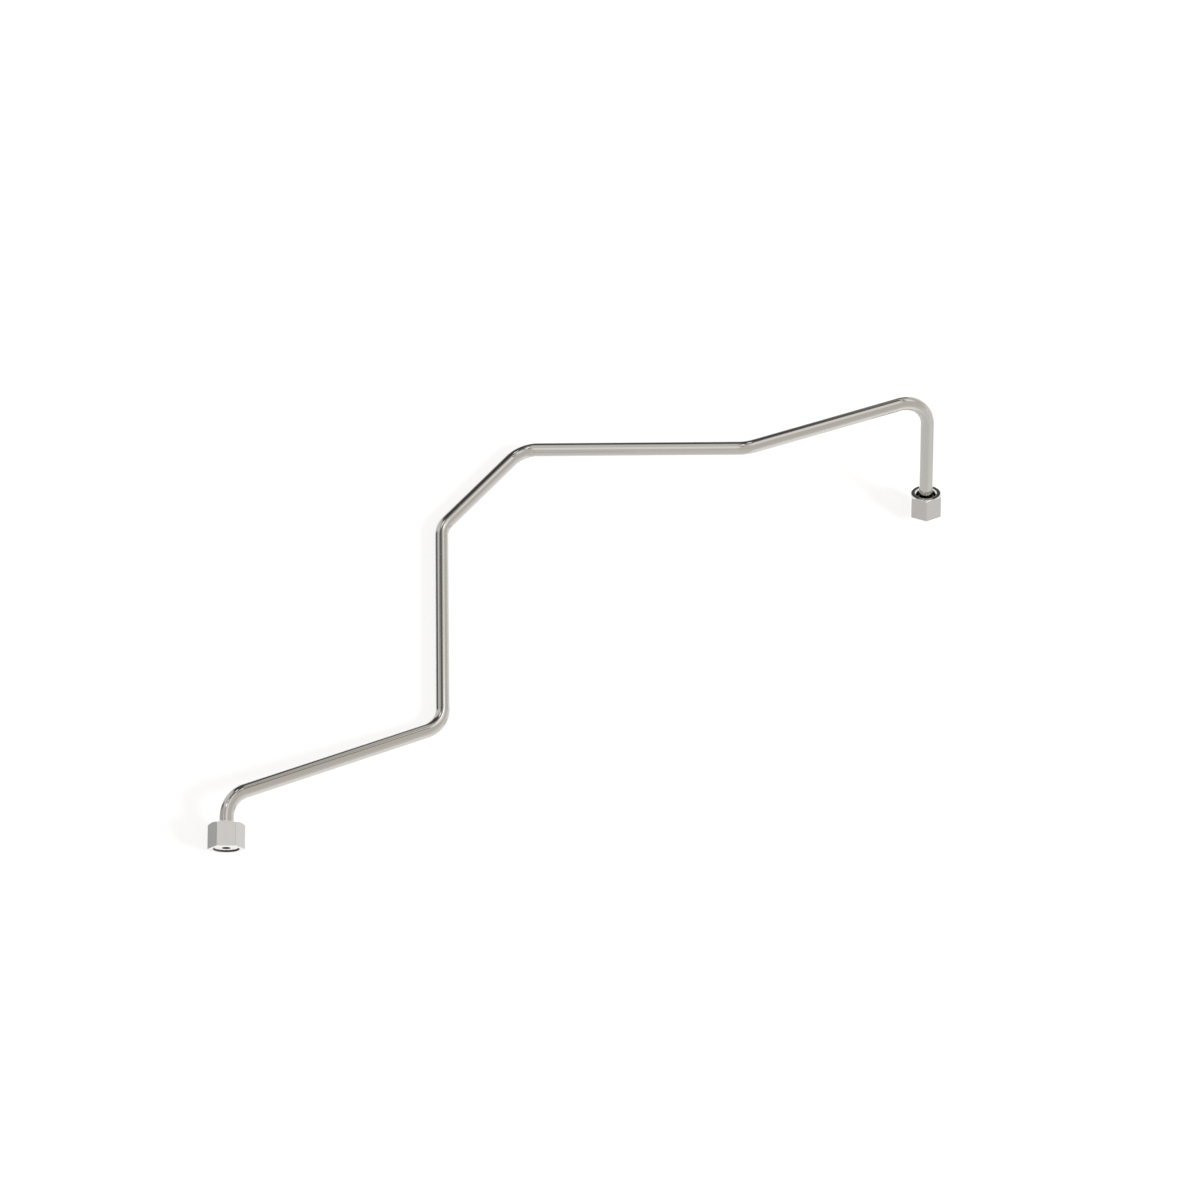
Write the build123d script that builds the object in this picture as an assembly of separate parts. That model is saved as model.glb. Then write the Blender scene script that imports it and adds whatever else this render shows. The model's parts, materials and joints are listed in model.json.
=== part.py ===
from build123d import *
import math
import os

# A rigid oil line for a transmission, in millimetres: one steel tube with six bends, a flat-face
# sleeve brazed on each end, and a captive hexagon union nut behind each sleeve.
# It lies as it comes to rest: on the mouth rim of both nuts, with two of its runs along the floor.
# +X runs from the left end to the right end, +Y to the back, +Z up from the floor.

# Tube
tube_od = 10.0
tube_wall = 2.0
bend_radius = 20.0

# Route of the centre line, from one bend point to the next. A heading is the direction of a run
# seen from above, counted from +X towards +Y. A slope is its rise over the floor.
left_stub = 36.5
left_heading = 102.5
left_slope_angle = 14.0
long_run = 163.5
long_heading = 36.0
back_run = 167.0
back_heading = 101.5
corner_run = 94.5
corner_heading = 61.5
rising_run = 177.0
rising_heading = -3.0
rising_slope_angle = 23.0
top_run = 140.5
top_heading = 27.0
top_slope_angle = 8.5
right_heading = -62.0
right_slope_angle = -63.75

# Union nut for an M18 x 1.5 thread, which is left as a plain bore at its inner diameter. A relief
# behind the thread makes room for the sleeve's collar.
nut_across_flats = 22.0
nut_length = 17.5
thread_outer = 18.0
thread_inner = 16.376
thread_end = 7.0
relief_depth = 10.0
relief_over_thread = 0.2
rear_bore = 14.4
rear_countersink = 16.4
rear_chamfer_angle = 30.0
rear_chamfer_circle = 21.6
mouth_chamfer_circle = 24.4
right_nut_turn = 8.5

# Flat-face sleeve, whose collar the nut pulls against
sleeve_length = 6.0
collar_length = 3.0
hub_od = 12.4
front_wall = 1.5
face_edge = 0.3

# Clearances
running_gap = 0.09
seat_gap = 0.05
braze_gap = 0.05

# How far the left nut has slid back: its mouth stays this far in front of the sealing face
left_recess = 0.8

# Sizes that follow
tube_bore = tube_od - 2 * tube_wall
collar_od = thread_inner - 2 * running_gap
relief_bore = thread_outer + 2 * relief_over_thread
hexagon_corner = nut_across_flats / 2 / math.cos(math.radians(30))


def direction(heading, slope):
    """Unit vector of a run, from its two angles in degrees."""
    turn = math.radians(heading)
    rise = math.radians(slope)
    return Vector(math.cos(turn) * math.cos(rise), math.sin(turn) * math.cos(rise), math.sin(rise))


def turned(profile):
    """Solid of revolution about Z, from the points (radius, height) of its half section."""
    section = make_face(Polyline(*[(radius, 0, height) for radius, height in profile], close=True))
    return revolve(section, Axis.Z)


def cone_height(wide, narrow, angle=45):
    """Height of a cone between two diameters, for its angle to the end face."""
    return (wide - narrow) / 2 * math.tan(math.radians(angle))


def union_nut():
    """Nut with its mouth at the origin, its axis along +Z and one flat towards -Y."""
    blank = extrude(RegularPolygon(nut_across_flats / 2, 6, major_radius=False), nut_length)
    mouth_cut = cone_height(2 * hexagon_corner, mouth_chamfer_circle, rear_chamfer_angle)
    rear_cut = cone_height(2 * hexagon_corner, rear_chamfer_circle, rear_chamfer_angle)
    entry = cone_height(thread_outer, thread_inner)
    relief_entry = cone_height(relief_bore, thread_inner)
    shoulder = cone_height(relief_bore, rear_bore)
    exit_cone = cone_height(rear_countersink, rear_bore)
    skin = turned([
        (thread_outer / 2, 0),
        (mouth_chamfer_circle / 2, 0),
        (hexagon_corner, mouth_cut),
        (hexagon_corner, nut_length - rear_cut),
        (rear_chamfer_circle / 2, nut_length),
        (rear_countersink / 2, nut_length),
        (rear_bore / 2, nut_length - exit_cone),
        (rear_bore / 2, relief_depth + shoulder),
        (relief_bore / 2, relief_depth),
        (relief_bore / 2, thread_end + relief_entry),
        (thread_inner / 2, thread_end),
        (thread_inner / 2, entry),
    ])
    return blank & skin


def sleeve():
    """Sleeve with its sealing face at the origin and its axis along +Z, the tube entering from above."""
    cone = cone_height(collar_od, hub_od)
    socket = tube_od / 2 + braze_gap
    return turned([
        (tube_bore / 2, 0),
        (collar_od / 2 - face_edge, 0),
        (collar_od / 2, face_edge),
        (collar_od / 2, collar_length),
        (hub_od / 2, collar_length + cone),
        (hub_od / 2, sleeve_length),
        (socket, sleeve_length),
        (socket, front_wall),
        (tube_bore / 2, front_wall),
    ])


def on_axis(point, axis, turn=0):
    """Frame at a point whose +Z runs along the axis and whose -Y faces the floor, then turned about Z."""
    level = Vector(0, 0, 1).cross(axis)
    return Location(Plane(origin=point, x_dir=level, z_dir=axis)) * Rotation(0, 0, turn)


def rim_height(axis, turn):
    """Height of the centre of a nut's mouth over the floor that the nut stands on."""
    return -(on_axis(Vector(0, 0, 0), axis, turn) * union_nut()).bounding_box().min.Z


# Left end: the nut's rim on the floor gives the height of the first bend point
left_axis = direction(left_heading, left_slope_angle)
left_mouth = Vector(0, 0, rim_height(left_axis, 0))
left_face = left_mouth + left_axis * left_recess
bend_1 = left_mouth + left_axis * left_stub

# The long run comes down to the floor, and two runs lie along it
lying_height = tube_od / 2
long_slope = -math.degrees(math.asin((bend_1.Z - lying_height) / long_run))
bend_2 = bend_1 + direction(long_heading, long_slope) * long_run
bend_3 = bend_2 + direction(back_heading, 0) * back_run
bend_4 = bend_3 + direction(corner_heading, 0) * corner_run
bend_5 = bend_4 + direction(rising_heading, rising_slope_angle) * rising_run
bend_6 = bend_5 + direction(top_heading, top_slope_angle) * top_run

# Right end: the last run is as long as it takes for that nut to stand on the floor
right_run = direction(right_heading, right_slope_angle)
right_axis = right_run * -1
right_stub = (bend_6.Z - rim_height(right_axis, right_nut_turn)) / right_axis.Z
right_mouth = bend_6 + right_run * right_stub

# The right nut is drawn up: its shoulder cone sits on the cone behind the sleeve's collar
seated_recess = relief_depth + cone_height(relief_bore, collar_od) - seat_gap - collar_length
right_face = right_mouth + right_axis * seated_recess

# The tube ends against the front wall of each sleeve
tube_start = left_face + left_axis * front_wall
tube_end = right_face + right_axis * front_wall
route = [tube_start, bend_1, bend_2, bend_3, bend_4, bend_5, bend_6, tube_end]
centre_line = FilletPolyline(*route, radius=bend_radius)
ring = Circle(tube_od / 2) - Circle(tube_bore / 2)
tube = sweep(Plane(origin=tube_start, z_dir=left_axis) * ring, path=centre_line)

nodes = {
    "tube": tube,
    "left_sleeve": on_axis(left_face, left_axis) * sleeve(),
    "left_union_nut": on_axis(left_mouth, left_axis) * union_nut(),
    "right_sleeve": on_axis(right_face, right_axis) * sleeve(),
    "right_union_nut": on_axis(right_mouth, right_axis, right_nut_turn) * union_nut(),
}

# The origin is on the floor, in the middle of the whole line
middle = Compound(list(nodes.values())).bounding_box().center()
shift = Vector(-middle.X, -middle.Y, 0)

os.makedirs("parts", exist_ok=True)
for name, shape in nodes.items():
    placed = Pos(shift) * shape
    placed.label = name
    export_step(placed, f"parts/{name}.step")

print("length of the tube along its centre line", round(centre_line.length, 2))
for end, mouth, face, axis in [("left", left_mouth, left_face, left_axis),
                               ("right", right_mouth, right_face, right_axis)]:
    print(end, "nut mouth", [round(value, 4) for value in mouth + shift])
    print(end, "sealing face", [round(value, 4) for value in face + shift])
    print(end, "axis", [round(value, 6) for value in axis])
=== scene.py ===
import json
import math

import bpy
from mathutils import Matrix, Vector


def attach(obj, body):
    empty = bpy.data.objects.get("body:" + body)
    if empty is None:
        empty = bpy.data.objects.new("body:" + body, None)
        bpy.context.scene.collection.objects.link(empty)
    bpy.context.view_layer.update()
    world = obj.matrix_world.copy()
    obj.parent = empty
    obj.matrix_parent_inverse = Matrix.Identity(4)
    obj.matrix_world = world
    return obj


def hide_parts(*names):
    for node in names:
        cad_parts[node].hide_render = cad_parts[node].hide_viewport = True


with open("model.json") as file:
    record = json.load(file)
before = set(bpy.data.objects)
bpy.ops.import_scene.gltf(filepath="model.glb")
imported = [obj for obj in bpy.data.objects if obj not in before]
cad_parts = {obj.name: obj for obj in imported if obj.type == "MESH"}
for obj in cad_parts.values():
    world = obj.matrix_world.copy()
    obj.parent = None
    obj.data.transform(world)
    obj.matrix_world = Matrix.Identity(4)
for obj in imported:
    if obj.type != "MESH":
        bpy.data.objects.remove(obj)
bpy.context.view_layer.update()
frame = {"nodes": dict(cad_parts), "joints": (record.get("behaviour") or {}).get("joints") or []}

MM = 0.001

# Camera: where the photograph was taken from, in the frame of the part
CAMERA_PLACE_MM = (-3.82, -1068.30, 1740.0)
CAMERA_ELEVATION = 57.30
CAMERA_ROLL = 11.25
SENSOR_MM = 36.0
LENS_MM = 84.91

# Union nut, as in the part's source, in millimetres from its mouth, and each nut's turn in degrees
ACROSS_FLATS = 22.0
NUT_LENGTH = 17.5
THREAD_OUTER = 18.0
THREAD_INNER = 16.376
THREAD_END = 7.0
THREAD_PITCH = 1.5
RELIEF_BORE = 18.4
RELIEF_DEPTH = 10.0
REAR_BORE = 14.4
REAR_COUNTERSINK = 16.4
CHAMFER_SLOPE = math.tan(math.radians(30))
REAR_CHAMFER_CIRCLE = 21.6
MOUTH_CHAMFER_CIRCLE = 24.4
NUT_TURNS = {"left_union_nut": 0.0, "right_union_nut": 8.5}

# Rounding of the nut's edges, which the part's source leaves sharp
CORNER_ROUNDING = 0.35
EDGE_ROUNDING = 0.12

# Crest and root of the thread, as shares of its pitch
CREST_SHARE = 0.25
ROOT_SHARE = 0.125

# How finely the nut's wall is divided: the thread along its axis, in millimetres, and everything round
# it in degrees, closest beside a corner
THREAD_STEP = 0.1
CORNER_TO_FLAT = (0.3, 0.6, 0.9, 2, 4, 6.5, 9, 11.5, 14, 17, 20, 23.5, 27)
CORNER_TO_CORNER = (0, *CORNER_TO_FLAT, 30, *(60 - step for step in reversed(CORNER_TO_FLAT)))

# Finishes on a nut's wall, numbered in the order of its materials
# The thread finish covers the whole inside of the nut and is painted shade: near-black steel standing for
# the shade in the bore and thread.
# The turned finish is much brighter steel than the flats, partly the turned surface and partly painted
# highlight on the mouth face, chamfers and countersink.
FLATS, TURNED, REAR, THREAD = range(4)

# Tube, as in the part's source. Its route starts and ends on the axes of the two nuts, and each end lies
# so far behind its nut's mouth. The long run comes down to the floor. Each run after it has its length,
# its heading and its slope over the floor.
TUBE_OD = 10.0
TUBE_BORE = 6.0
BEND_RADIUS = 20.0
LEFT_STUB = 36.5
LONG_RUN = 163.5
LONG_HEADING = 36.0
FURTHER_RUNS = [(167.0, 101.5, 0.0), (94.5, 61.5, 0.0), (177.0, -3.0, 23.0), (140.5, 27.0, 8.5)]
LEFT_TUBE_END = 2.3
RIGHT_TUBE_END = 9.552

# How finely the tube is divided: degrees from ring to ring in a bend, points round a ring, and the
# length of the short piece beside each bend and end that keeps the shading of a long run even
BEND_STEP = 2.5
ROUND_STEPS = 96
GUARD_LENGTH = 0.5

# The studio, in degrees. Its surroundings go from one tone below the floor, over a horizon, to one above,
# and matt surfaces get less of their light than the steel mirrors. Each soft patch on them has the azimuth
# of its middle, from +X towards +Y, half its width, its lowest and highest elevation, how wide its edges
# fade, and its brightness. A patch covers those listed before it.
ABOVE = (0.78, 0.73, 0.665)
HORIZON = (0.84, 0.81, 0.77)
BELOW = (0.96, 0.94, 0.925)
ABOVE_FADE = (0, 30)
BELOW_FADE = (-15, -75)
SHARE_ON_MATT = 0.7
PATCHES = {
    "right_low": (10, 62, -90, -16, 16, (1.22, 1.20, 1.17)),
    "right_horizon": (5, 30, -14, 8, 14, (0.98, 0.955, 0.93)),
    "top_right": (50, 15, 49, 62, 12, (1.25, 1.22, 1.17)),
    "ceiling_strip": (58, 24, 64.5, 72, 3, (0.35, 0.33, 0.285)),
    "zenith": (0, 180, 81, 99, 7, (1.14, 1.11, 1.07)),
    "back_top": (103, 12, 64, 74, 5, (1.12, 1.10, 1.03)),
    "dark_back": (117.5, 9, -8, 48, 6, (0.08, 0.078, 0.072)),
    "dark_ring": (95, 8, -4, 20, 4, (0.09, 0.09, 0.085)),
    "dark_top": (122, 20, 45, 59, 4, (0.17, 0.17, 0.175)),
    "light_gap": (152, 12, 2, 37, 5, (0.88, 0.87, 0.87)),
    "dark_spot": (152, 4, 35, 39, 3, (0.18, 0.18, 0.185)),
    "dark_left": (160, 5, -20, 8, 3, (0.04, 0.04, 0.045)),
    "grey_left": (177, 9, -36, 24, 6, (0.57, 0.565, 0.565)),
    "back_left": (158, 8, 42, 49, 4, (0.90, 0.89, 0.87)),
    "back_line": (130, 50, 61.5, 64, 2.5, (0.28, 0.27, 0.255)),
    "left_line": (-167, 14, 60.5, 63.5, 3, (0.28, 0.27, 0.255)),
    "left_band": (-167, 4, 40, 50, 3, (1.20, 1.18, 1.16)),
    "dim_right": (91, 4, 44, 50, 4, (0.45, 0.44, 0.41)),
    "edge_top": (97, 11, -60, -18, 6, (1.45, 1.45, 1.44)),
    "edge_left": (135, 14, -60, -38, 6, (1.40, 1.40, 1.39)),
    "edge_right": (17, 6, -31, -22, 3, (0.50, 0.49, 0.48)),
    "window_left": (-148, 10, 31, 47, 8, (1.14, 1.10, 1.07)),
    "lamp_back": (119, 2.5, 45, 48, 2.5, (3.5, 3.5, 3.5)),
    "lamp_right": (70, 2.5, 54.5, 57, 2, (3.5, 3.5, 3.4)),
    "lamp_top": (83, 2, 65, 68, 2, (3.0, 3.0, 2.9)),
    "lamp_left": (159, 3, 58, 62, 3, (3.5, 3.5, 3.5)),
    "lamp_far": (146, 2, 55, 57, 2, (2.4, 2.4, 2.4)),
}

# Key light: where it comes from and how far its soft edge spreads, in degrees, and its strength
KEY_AZIMUTH = -12
KEY_ELEVATION = 30
KEY_STRENGTH = 2.8
KEY_SOFTNESS = 18

# Floor: half its width and how far it lies under the part, in metres. The camera sees dim paint with a
# glow, other rays see pale paint, and the steel mirrors mostly what lies beyond the floor.
FLOOR_HALF = 4.0
FLOOR_DROP = 0.00005
FLOOR_PAINT = 0.9
FLOOR_PAINT_SEEN = 0.28
FLOOR_GLOW_SEEN = 0.8
FLOOR_SEE_THROUGH = 0.85

# Steel: uneven gloss, and fine lines left by drawing and turning, whose depth is in metres. A range is
# where the value of that noise mostly lies.
CLOUD_SCALE = 120.0
CLOUD_DETAIL = 4.0
CLOUD_RANGE = (0.3, 0.7)
GLOSS_CHANGE = 0.15
LINE_DETAIL = 3.0
LINE_RANGE = (0.35, 0.75)
LINE_GLOSS = 0.6
LINE_STRENGTH = 0.15
LINE_DEPTH = 0.00001


def place_camera():
    """Camera at the photograph's place, looking level along +Y and down, then rolled."""
    slope = math.radians(CAMERA_ELEVATION)
    roll = math.radians(CAMERA_ROLL)
    view = Vector((0, math.cos(slope), -math.sin(slope)))
    level_up = Vector((0, math.sin(slope), math.cos(slope)))
    level_right = Vector((1, 0, 0))
    right = level_right * math.cos(roll) + level_up * math.sin(roll)
    up = level_up * math.cos(roll) - level_right * math.sin(roll)
    data = bpy.data.cameras.new("camera")
    data.sensor_width = SENSOR_MM
    data.lens = LENS_MM
    camera = bpy.data.objects.new("camera", data)
    bpy.context.scene.collection.objects.link(camera)
    turn = Matrix((right, up, -view)).transposed().to_4x4()
    camera.matrix_world = Matrix.Translation(Vector(CAMERA_PLACE_MM) * MM) @ turn
    bpy.context.scene.camera = camera


def direction(azimuth, elevation):
    """Unit vector for two angles in degrees."""
    turn = math.radians(azimuth)
    rise = math.radians(elevation)
    return Vector((math.cos(turn) * math.cos(rise), math.sin(turn) * math.cos(rise), math.sin(rise)))


def rgba(colour):
    return (*colour, 1.0)


class Nodes:
    """Short calls that add and join the nodes of one tree."""

    def __init__(self, tree):
        self.tree = tree
        tree.nodes.clear()

    def add(self, kind, **settings):
        node = self.tree.nodes.new(kind)
        for name, value in settings.items():
            setattr(node, name, value)
        return node

    def join(self, source, target):
        self.tree.links.new(source, target)

    def math(self, operation, first, second=None, third=None):
        node = self.add("ShaderNodeMath", operation=operation)
        for socket, value in zip(node.inputs, (first, second, third)):
            self.feed(socket, value)
        return node.outputs[0]

    def feed(self, socket, value):
        """Joins a socket to the given one, or sets the given number on it."""
        if value is None:
            return
        if isinstance(value, bpy.types.NodeSocket):
            self.join(value, socket)
        else:
            socket.default_value = value

    def mix(self, factor, first, second):
        """Mix of two colours, which a mix node takes on its inputs 6 and 7 and gives on its output 2."""
        node = self.add("ShaderNodeMix", data_type="RGBA")
        self.feed(node.inputs["Factor"], factor)
        self.feed(node.inputs[6], first)
        self.feed(node.inputs[7], second)
        return node.outputs[2]

    def ramp(self, value, low, high, to_low=0.0, to_high=1.0):
        """Soft step from one number to another, while a value goes from low to high."""
        node = self.add("ShaderNodeMapRange", interpolation_type="SMOOTHSTEP")
        for socket, given in zip(node.inputs, (value, low, high, to_low, to_high)):
            self.feed(socket, given)
        return node.outputs[0]


def studio_world():
    """Light from all round with soft patches, and plain white where the camera looks past the part."""
    world = bpy.data.worlds.new("studio")
    world.use_nodes = True
    nodes = Nodes(world.node_tree)
    towards = nodes.add("ShaderNodeSeparateXYZ")
    nodes.join(nodes.add("ShaderNodeTexCoord").outputs["Generated"], towards.inputs[0])
    east, north, height = towards.outputs
    azimuth = nodes.math("DEGREES", nodes.math("ARCTAN2", north, east))
    elevation = nodes.math("DEGREES", nodes.math("ARCSINE", height))
    colour = nodes.mix(nodes.ramp(elevation, *ABOVE_FADE), rgba(HORIZON), rgba(ABOVE))
    colour = nodes.mix(nodes.ramp(elevation, *BELOW_FADE), colour, rgba(BELOW))
    for middle, half, low, high, fade, brightness in PATCHES.values():
        off = nodes.math("ABSOLUTE", nodes.math("WRAP", nodes.math("SUBTRACT", azimuth, middle), 180, -180))
        share = nodes.ramp(off, half + fade, half)
        share = nodes.math("MULTIPLY", share, nodes.ramp(elevation, low - fade, low))
        share = nodes.math("MULTIPLY", share, nodes.ramp(elevation, high + fade, high))
        colour = nodes.mix(share, colour, rgba(brightness))
    path = nodes.add("ShaderNodeLightPath")
    lit = nodes.add("ShaderNodeBackground")
    nodes.join(colour, lit.inputs["Color"])
    nodes.join(nodes.ramp(path.outputs["Is Diffuse Ray"], 0, 1, 1, SHARE_ON_MATT), lit.inputs["Strength"])
    white = nodes.add("ShaderNodeBackground")
    white.inputs["Color"].default_value = rgba((1, 1, 1))
    choice = nodes.add("ShaderNodeMixShader")
    nodes.join(path.outputs["Is Camera Ray"], choice.inputs[0])
    nodes.join(lit.outputs[0], choice.inputs[1])
    nodes.join(white.outputs[0], choice.inputs[2])
    output = nodes.add("ShaderNodeOutputWorld")
    nodes.join(choice.outputs[0], output.inputs["Surface"])
    bpy.context.scene.world = world


def key_light():
    """Soft light from the right, which gives the floor its shadow and isn't mirrored in the steel."""
    data = bpy.data.lights.new("key", "SUN")
    data.energy = KEY_STRENGTH
    data.angle = math.radians(KEY_SOFTNESS)
    lamp = bpy.data.objects.new("key", data)
    lamp.rotation_euler = direction(KEY_AZIMUTH, KEY_ELEVATION).to_track_quat("Z", "Y").to_euler()
    lamp.visible_glossy = False
    bpy.context.scene.collection.objects.link(lamp)


def studio_floor():
    """Pale floor that shows white, with the soft shadow of the part."""
    half = FLOOR_HALF
    corners = [(-half, -half, 0), (half, -half, 0), (half, half, 0), (-half, half, 0)]
    mesh = bpy.data.meshes.new("floor")
    mesh.from_pydata(corners, [], [(0, 1, 2, 3)])
    floor = bpy.data.objects.new("floor", mesh)
    bpy.context.scene.collection.objects.link(floor)
    floor.location.z = -FLOOR_DROP
    material = bpy.data.materials.new("floor_white")
    material.use_nodes = True
    nodes = Nodes(material.node_tree)
    path = nodes.add("ShaderNodeLightPath")
    mirrored = nodes.math("MAXIMUM", path.outputs["Is Glossy Ray"], path.outputs["Is Transmission Ray"])
    paint = nodes.add("ShaderNodeBsdfDiffuse")
    tone = nodes.mix(path.outputs["Is Camera Ray"], rgba([FLOOR_PAINT] * 3), rgba([FLOOR_PAINT_SEEN] * 3))
    nodes.join(tone, paint.inputs["Color"])
    glow = nodes.add("ShaderNodeEmission")
    glow.inputs["Color"].default_value = rgba((1, 1, 1))
    strength = nodes.math("MULTIPLY", path.outputs["Is Camera Ray"], FLOOR_GLOW_SEEN)
    nodes.join(strength, glow.inputs["Strength"])
    both = nodes.add("ShaderNodeAddShader")
    nodes.join(paint.outputs[0], both.inputs[0])
    nodes.join(glow.outputs[0], both.inputs[1])
    paper = nodes.add("ShaderNodeMixShader")
    nodes.join(nodes.math("MULTIPLY", mirrored, FLOOR_SEE_THROUGH), paper.inputs[0])
    nodes.join(both.outputs[0], paper.inputs[1])
    nodes.join(nodes.add("ShaderNodeBsdfTransparent").outputs[0], paper.inputs[2])
    output = nodes.add("ShaderNodeOutputMaterial")
    nodes.join(paper.outputs[0], output.inputs["Surface"])
    mesh.materials.append(material)


def joint_line(name):
    """Place in millimetres and direction of a joint's axis."""
    joint = next(entry for entry in frame["joints"] if entry["name"] == name)
    return Vector(joint["pos_m"]) / MM, Vector(joint["axis"]).normalized()


def tube_route():
    """Ends and bend points of the tube's centre line, worked out from both nuts' mouths."""
    left_mouth, left_axis = joint_line("left_nut_spin")
    right_mouth, right_axis = joint_line("right_nut_spin")
    bend = left_mouth + left_axis * LEFT_STUB
    route = [left_mouth + left_axis * LEFT_TUBE_END, bend]
    fall = math.degrees(math.asin((bend.z - TUBE_OD / 2) / LONG_RUN))
    for length, heading, slope in [(LONG_RUN, LONG_HEADING, -fall), *FURTHER_RUNS]:
        bend = bend + direction(heading, slope) * length
        route.append(bend)
    route.append(right_mouth + right_axis * RIGHT_TUBE_END)
    return route


def centre_line(route):
    """Places and directions of the rings along a route whose corners are bent to one radius."""
    towards = (route[1] - route[0]).normalized()
    line = [(route[0], towards), (route[0] + towards * GUARD_LENGTH, towards)]
    for before, corner, after in zip(route, route[1:], route[2:]):
        towards = (corner - before).normalized()
        onward = (after - corner).normalized()
        inward = (onward - towards * towards.dot(onward)).normalized()
        bend = towards.angle(onward)
        cut = BEND_RADIUS * math.tan(bend / 2)
        start = corner - towards * cut
        line.append((start - towards * GUARD_LENGTH, towards))
        steps = math.ceil(math.degrees(bend) / BEND_STEP)
        for number in range(steps + 1):
            turn = bend * number / steps
            ahead = towards * BEND_RADIUS * math.sin(turn)
            aside = inward * BEND_RADIUS * (1 - math.cos(turn))
            line.append((start + ahead + aside, towards * math.cos(turn) + inward * math.sin(turn)))
        line.append((corner + onward * (cut + GUARD_LENGTH), onward))
    line.append((route[-1] - onward * GUARD_LENGTH, onward))
    line.append((route[-1], onward))
    return line


def tube_rings(line):
    """Points of each outer and inner ring along the tube, and how far along the line each ring lies."""
    before, heading = line[0]
    across = heading.orthogonal().normalized()
    length = 0.0
    lengths = []
    points = []
    for place, towards in line:
        across = heading.rotation_difference(towards) @ across
        across = (across - towards * across.dot(towards)).normalized()
        upward = towards.cross(across)
        length += (place - before).length
        lengths.append(length)
        for radius in (TUBE_OD / 2, TUBE_BORE / 2):
            for number in range(ROUND_STEPS):
                turn = 2 * math.pi * number / ROUND_STEPS
                aside = across * math.cos(turn) + upward * math.sin(turn)
                points.append((place + aside * radius) * MM)
        before, heading = place, towards
    return points, lengths


def bent_tube():
    """The tube with smooth bends, in the place of the plain one."""
    points, lengths = tube_rings(centre_line(tube_route()))
    ring_size = 2 * ROUND_STEPS
    last = len(lengths) - 1
    faces = []
    for ring in range(last):
        outer = ring * ring_size
        inner = outer + ROUND_STEPS
        faces += wall_faces(outer, outer + ring_size)
        faces += wall_faces(inner + ring_size, inner)
    end = last * ring_size
    faces += wall_faces(ROUND_STEPS, 0) + wall_faces(end, end + ROUND_STEPS)
    mesh = bpy.data.meshes.new("bent_tube")
    mesh.from_pydata(points, [], faces)
    mesh.shade_smooth()
    for edge in mesh.edges:
        rings = {vertex // ring_size for vertex in edge.vertices}
        edge.use_edge_sharp = rings in ({0}, {last})
    turns = [vertex % ROUND_STEPS / ROUND_STEPS for vertex in range(len(points))]
    mark_places(mesh, turns, [length * MM for length in lengths for vertex in range(ring_size)])
    add_piece("bent_tube", mesh, "line", "tube", [tube_steel])


def wall_faces(here, there):
    """Faces between two rings of points, which face out where the second ring lies further along."""
    faces = []
    for number in range(ROUND_STEPS):
        after = (number + 1) % ROUND_STEPS
        faces.append((here + number, here + after, there + after, there + number))
    return faces


def mark_places(mesh, turns, lengths):
    """Place of each corner for the fine lines: how far round the piece, and how far along it in metres."""
    layer = mesh.uv_layers.new(name="marks")
    for face in mesh.polygons:
        furthest = max(turns[vertex] for vertex in face.vertices)
        for loop, vertex in zip(face.loop_indices, face.vertices):
            seam = 1 if furthest - turns[vertex] > 0.5 else 0
            layer.data[loop].uv = (turns[vertex] + seam, lengths[vertex])


def keep_flats_flat(mesh):
    """Smooth shading in which the larger faces keep their own direction, beside the rounded edges."""
    normals = [Vector() for vertex in mesh.vertices]
    for face in mesh.polygons:
        for vertex in face.vertices:
            normals[vertex] += face.normal * face.area ** 2
    mesh.normals_split_custom_set_from_vertices([normal.normalized() for normal in normals])


def add_piece(name, mesh, body, node, materials):
    """Puts a mesh into the scene in the place of one plain node, riding on its body."""
    piece = bpy.data.objects.new(name, mesh)
    bpy.context.scene.collection.objects.link(piece)
    for material in materials:
        mesh.materials.append(material)
    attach(piece, body)
    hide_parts(node)


def hexagon_radius(angle):
    """Distance from the axis to the rounded hexagon in one direction, a flat facing -90 degrees."""
    flat = ACROSS_FLATS / 2
    half_side = math.radians(30)
    from_flat = (math.degrees(angle) + 90 + 30) % 60 - 30
    from_corner = half_side - math.radians(abs(from_flat))
    centre = (flat - CORNER_ROUNDING) / math.cos(half_side)
    reach = centre + CORNER_ROUNDING * math.cos(half_side)
    if from_corner < math.atan2(CORNER_ROUNDING * math.sin(half_side), reach):
        across = centre * math.sin(from_corner)
        return centre * math.cos(from_corner) + math.sqrt(CORNER_ROUNDING ** 2 - across ** 2)
    return flat / math.cos(math.radians(from_flat))


def thread_radius(height, angle):
    """Radius of the nut's inner wall over the thread, its entry cone and the start of its relief."""
    root = THREAD_OUTER / 2
    crest = THREAD_INNER / 2
    phase = (height / THREAD_PITCH - angle / (2 * math.pi)) % 1.0
    climb = (abs(phase - 0.5) - CREST_SHARE / 2) / (0.5 - CREST_SHARE / 2 - ROOT_SHARE / 2)
    thread = crest + (root - crest) * min(max(climb, 0), 1)
    entry = root - height
    relief = min(crest + height - THREAD_END, RELIEF_BORE / 2)
    return max(thread if height < THREAD_END else crest, entry, relief)


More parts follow.
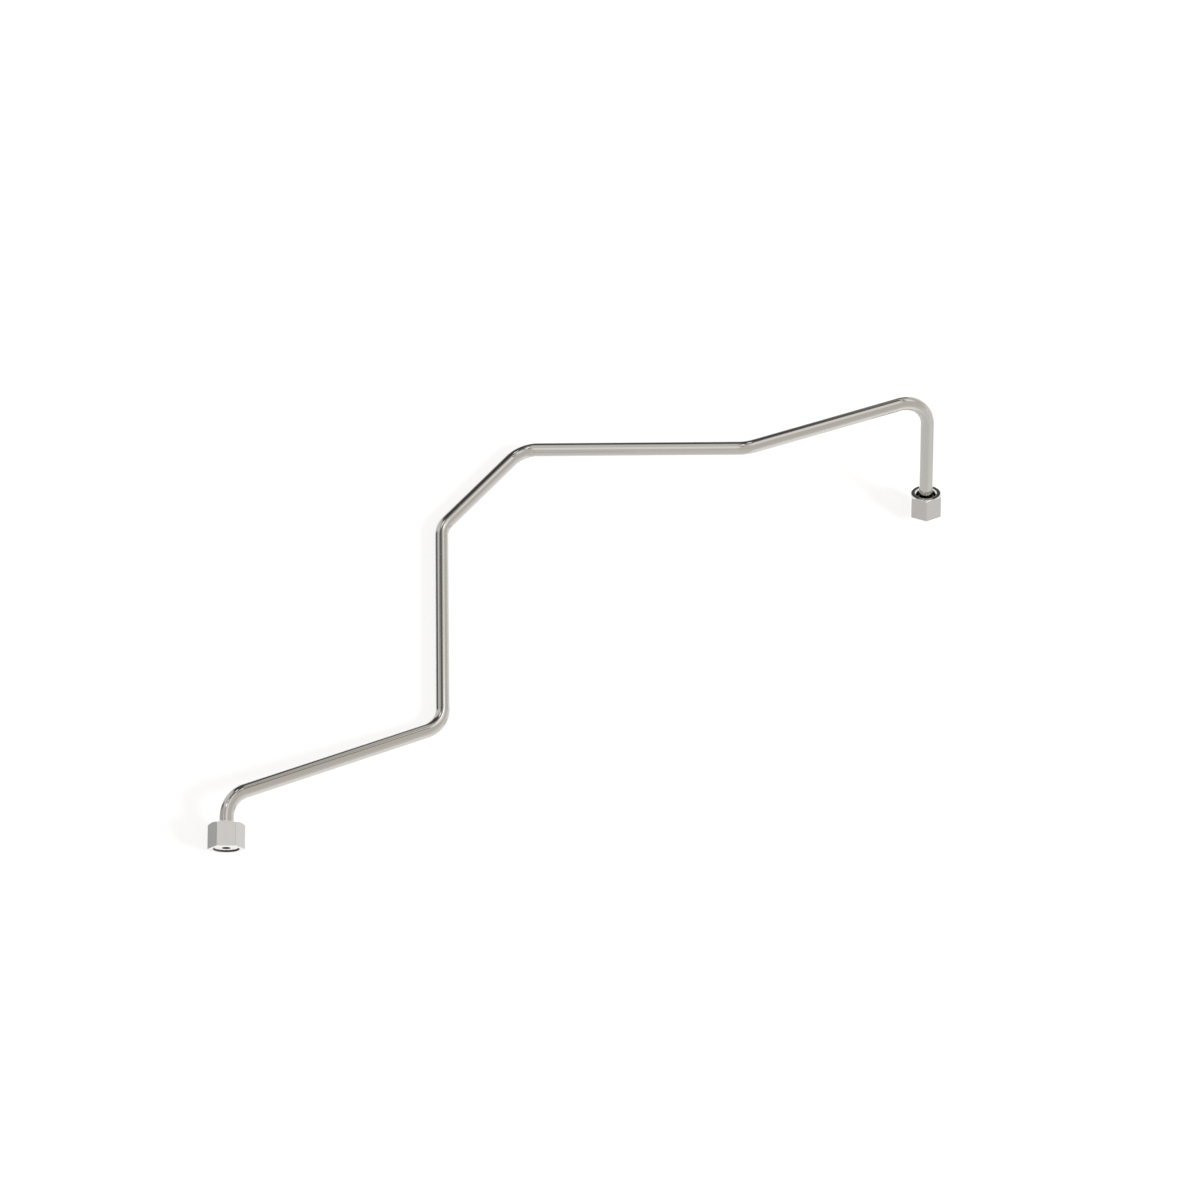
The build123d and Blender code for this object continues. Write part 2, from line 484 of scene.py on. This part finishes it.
def nut_column(angle):
    """Section of the nut at one angle, round from the mouth: radius, height and the finish that follows."""
    outside = hexagon_radius(angle)
    soft = EDGE_ROUNDING
    mouth_circle = min(MOUTH_CHAMFER_CIRCLE / 2, outside - soft)
    mouth_cut = max((outside - MOUTH_CHAMFER_CIRCLE / 2) * CHAMFER_SLOPE, soft)
    rear_circle = REAR_CHAMFER_CIRCLE / 2
    rear_cut = (outside - rear_circle) * CHAMFER_SLOPE
    bore = REAR_BORE / 2
    countersink = REAR_COUNTERSINK / 2
    relief = RELIEF_BORE / 2
    exit_height = NUT_LENGTH - (countersink - bore)
    shoulder_height = RELIEF_DEPTH + relief - bore
    # Rows marked THREAD, which are the bore, shoulder, relief and thread, get the painted shade of the
    # nut's inside.
    # Rows marked TURNED, which are the mouth face, edge roundings, chamfers and countersink, get the bright
    # steel with painted highlight.
    column = [
        (THREAD_OUTER / 2 + soft, 0, TURNED),
        (mouth_circle, 0, TURNED),
        (outside, mouth_cut, FLATS),
        (outside, NUT_LENGTH - rear_cut - soft, TURNED),
        (outside - soft / 2, NUT_LENGTH - rear_cut + soft / 4, TURNED),
        (rear_circle + soft, NUT_LENGTH - soft * CHAMFER_SLOPE, TURNED),
        (rear_circle - soft, NUT_LENGTH, REAR),
        (countersink + soft, NUT_LENGTH, TURNED),
        (countersink - soft, NUT_LENGTH - soft, TURNED),
        (bore + soft, exit_height + soft, THREAD),
        (bore, exit_height - soft, THREAD),
        (bore, shoulder_height + soft, THREAD),
        (bore + soft, shoulder_height - soft, THREAD),
        (relief, RELIEF_DEPTH, THREAD),
    ]
    top = THREAD_END + (RELIEF_BORE - THREAD_INNER) / 2
    rows = round((top - soft) / THREAD_STEP)
    for row in range(rows + 1):
        height = top + (soft - top) * row / rows
        column.append((thread_radius(height, angle), height, THREAD))
    return column


def nut_points(node, joint, angles, columns):
    """Points of a nut's wall in the part: one flat faces the floor, and then the nut turns on its axis."""
    mouth, axis = joint_line(joint)
    level = Vector((0, 0, 1)).cross(axis).normalized()
    level = Matrix.Rotation(math.radians(NUT_TURNS[node]), 3, axis) @ level
    to_part = Matrix((level, axis.cross(level), axis)).transposed()
    points = []
    for angle, column in zip(angles, columns):
        for radius, height, finish in column:
            local = Vector((radius * math.cos(angle), radius * math.sin(angle), height))
            points.append((mouth + to_part @ local) * MM)
    return points


def union_nut(name, node, joint, body):
    """Nut with rounded edges and its real thread, in the place of the plain one."""
    angles = [math.radians(corner + step) for corner in range(-60, 300, 60) for step in CORNER_TO_CORNER]
    columns = [nut_column(angle) for angle in angles]
    rows = len(columns[0])
    faces = []
    finishes = []
    for number, column in enumerate(columns):
        here = number * rows
        there = (number + 1) % len(columns) * rows
        for row in range(rows):
            after = (row + 1) % rows
            faces.append((here + row, there + row, there + after, here + after))
            finishes.append(column[row][2])
    mesh = bpy.data.meshes.new(name)
    mesh.from_pydata(nut_points(node, joint, angles, columns), [], faces)
    mesh.shade_smooth()
    for face, finish in zip(mesh.polygons, finishes):
        face.material_index = finish
    turns = [angle / (2 * math.pi) for angle in angles for row in range(rows)]
    lengths = [(radius + height) * MM for column in columns for radius, height, finish in column]
    mark_places(mesh, turns, lengths)
    keep_flats_flat(mesh)
    add_piece(name, mesh, body, node, [nut_steel, turned_and_highlight_steel, rear_steel, inside_nut_painted_shade])


def steel(name, colour, roughness, lines_round=0, lines_along=0):
    """Steel with a faint unevenness in its gloss, and fine lines left by drawing or turning."""
    material = bpy.data.materials.new(name)
    material.use_nodes = True
    nodes = Nodes(material.node_tree)
    cloud = nodes.add("ShaderNodeTexNoise")
    cloud.inputs["Scale"].default_value = CLOUD_SCALE
    cloud.inputs["Detail"].default_value = CLOUD_DETAIL
    nodes.join(nodes.add("ShaderNodeTexCoord").outputs["Object"], cloud.inputs["Vector"])
    shader = nodes.add("ShaderNodeBsdfPrincipled")
    shader.inputs["Metallic"].default_value = 1.0
    shader.inputs["Base Color"].default_value = rgba(colour)
    glossiest, dullest = roughness * (1 - GLOSS_CHANGE), roughness * (1 + GLOSS_CHANGE)
    gloss = nodes.ramp(cloud.outputs["Fac"], *CLOUD_RANGE, glossiest, dullest)
    if lines_round or lines_along:
        lines = machining_lines(nodes, lines_round, lines_along)
        gloss = nodes.math("ADD", gloss, nodes.ramp(lines, *LINE_RANGE, 0, roughness * LINE_GLOSS))
        bump = nodes.add("ShaderNodeBump")
        bump.inputs["Strength"].default_value = LINE_STRENGTH
        bump.inputs["Distance"].default_value = LINE_DEPTH
        nodes.join(lines, bump.inputs["Height"])
        nodes.join(bump.outputs["Normal"], shader.inputs["Normal"])
    nodes.join(gloss, shader.inputs["Roughness"])
    output = nodes.add("ShaderNodeOutputMaterial")
    nodes.join(shader.outputs[0], output.inputs["Surface"])
    return material


def machining_lines(nodes, lines_round, lines_along):
    """Noise stretched into fine lines, by how often it changes in a radian round a piece and in a metre."""
    place = nodes.add("ShaderNodeSeparateXYZ")
    marks = nodes.add("ShaderNodeUVMap", uv_map="marks")
    nodes.join(marks.outputs["UV"], place.inputs[0])
    turn = nodes.math("MULTIPLY", place.outputs[0], 2 * math.pi)
    spot = nodes.add("ShaderNodeCombineXYZ")
    nodes.join(nodes.math("MULTIPLY", nodes.math("COSINE", turn), lines_round), spot.inputs[0])
    nodes.join(nodes.math("MULTIPLY", nodes.math("SINE", turn), lines_round), spot.inputs[1])
    nodes.join(nodes.math("MULTIPLY", place.outputs[1], lines_along), spot.inputs[2])
    noise = nodes.add("ShaderNodeTexNoise")
    noise.inputs["Scale"].default_value = 1.0
    noise.inputs["Detail"].default_value = LINE_DETAIL
    nodes.join(spot.outputs[0], noise.inputs["Vector"])
    return noise.outputs["Fac"]


def dress_nodes():
    """Puts its own steel on each plain node."""
    steels = {
        "tube": tube_steel,
        "left_sleeve": sleeve_steel,
        "right_sleeve": sleeve_steel,
        "left_union_nut": nut_steel,
        "right_union_nut": nut_steel,
    }
    for node, material in steels.items():
        slots = frame["nodes"][node].data.materials
        slots.clear()
        slots.append(material)


place_camera()
studio_world()
studio_floor()
key_light()

# Steels: colour, roughness, and how often the fine lines change in a radian round and in a metre along
tube_steel = steel("tube_steel", (0.55, 0.545, 0.535), 0.07, lines_round=40, lines_along=12)
# Painted reflection, partly real: the sleeves in much brighter steel than the tube, so their end faces look
# white.
sleeve_steel = steel("sleeve_steel", (0.93, 0.93, 0.925), 0.16)
nut_steel = steel("nut_steel", (0.54, 0.535, 0.53), 0.14, lines_round=90, lines_along=60)
# Painted highlight, partly real: turned faces in much brighter steel than the flats, so the mouth face,
# chamfers and countersink shine white.
turned_and_highlight_steel = steel("turned_and_highlight_steel", (0.93, 0.93, 0.925), 0.14, lines_round=1, lines_along=9000)
rear_steel = steel("rear_steel", (0.56, 0.56, 0.555), 0.12, lines_round=1, lines_along=9000)
# Painted shade: near-black steel over the bore and thread, standing for the shade inside the nut.
inside_nut_painted_shade = steel("inside_nut_painted_shade", (0.07, 0.07, 0.068), 0.28)

dress_nodes()
bent_tube()
union_nut("left_threaded_nut", "left_union_nut", "left_nut_spin", "left_nut")
union_nut("right_threaded_nut", "right_union_nut", "right_nut_spin", "right_nut")

view = bpy.context.scene.view_settings
view.view_transform = "Standard"
